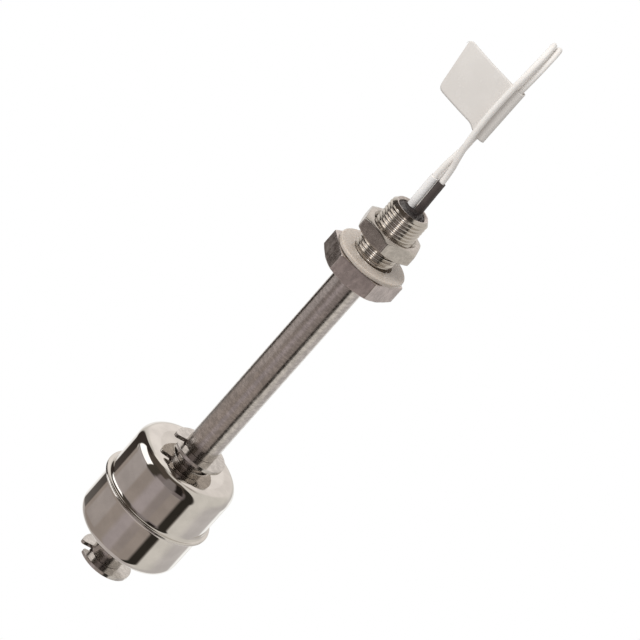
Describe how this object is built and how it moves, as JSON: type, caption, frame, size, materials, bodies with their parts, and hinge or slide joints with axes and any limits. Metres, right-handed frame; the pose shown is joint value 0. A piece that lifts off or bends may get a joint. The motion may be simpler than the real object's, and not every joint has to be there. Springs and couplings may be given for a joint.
{
  "type": "float level switch",
  "caption": "Vertical float level switch: stainless stem with a sliding magnet float between clips, hex fitting with threaded neck, sealing ring, lock nut and flying leads.",
  "frame": {"origin": "on the stem's axis, in the plane of the sealing ring's upper face, where the tank wall bears", "axes": "+Z along the stem towards the leads, so the float hangs at -Z; +X through a corner of the hex flange"},
  "size_m": [0.0293, 0.0353, 0.1638],
  "materials": {
    "turned_steel": "machined stainless",
    "stem_steel": "satin stainless tube",
    "polished_steel": "polished stainless",
    "spring_steel": "stamped, blasted",
    "seal_ring": "milky, slightly translucent",
    "white_insulation": "satin",
    "white_sleeving": "satin",
    "black_sleeving": "satin",
    "label_film": "semi-gloss film",
    "potting": "cast, uneven",
    "tinned_copper": "tinned strands",
    "reed_glass": "clear",
    "reed_metal": "plated",
    "reed_sleeving": "shrunk sleeve",
    "magnet_ferrite": "sintered",
    "spacer_plastic": "moulded"
  },
  "bodies": {
    "switch_body": {"fitting_body": "turned_steel", "sealing_ring": "seal_ring", "stem_tube": "stem_steel", "stem_end_plug": "stem_steel", "upper_retaining_clip": "spring_steel", "lower_retaining_clip": "spring_steel", "reed_glass": "reed_glass", "reed_upper_blade": "reed_metal", "reed_lower_blade": "reed_metal", "reed_sleeve": "reed_sleeving", "reed_return_link": "tinned_copper", "reed_resin": "potting", "white_inner_lead": "white_insulation", "black_inner_lead": "white_insulation", "neck_sealant": "potting", "white_sleeve": "white_sleeving", "black_sleeve": "black_sleeving", "white_lead": "white_insulation", "black_lead": "white_insulation", "white_lead_tip": "tinned_copper", "black_lead_tip": "tinned_copper", "flag_label": "label_film"},
    "float": {"float_upper_shell": "polished_steel", "float_lower_shell": "polished_steel", "float_tube": "polished_steel", "float_magnet": "magnet_ferrite", "magnet_spacer": "spacer_plastic"},
    "lock_nut": {"lock_nut": "turned_steel"}
  },
  "joints": [
    {"name": "float_travel", "type": "slide", "parent": "switch_body", "child": "float", "axis": [0, 0, 1], "range_m": [-0.00705, 0.0022]},
    {"name": "nut_travel", "type": "slide", "parent": "switch_body", "child": "lock_nut", "axis": [0, 0, 1], "range_m": [-0.00405, 0.005]}
  ]
}
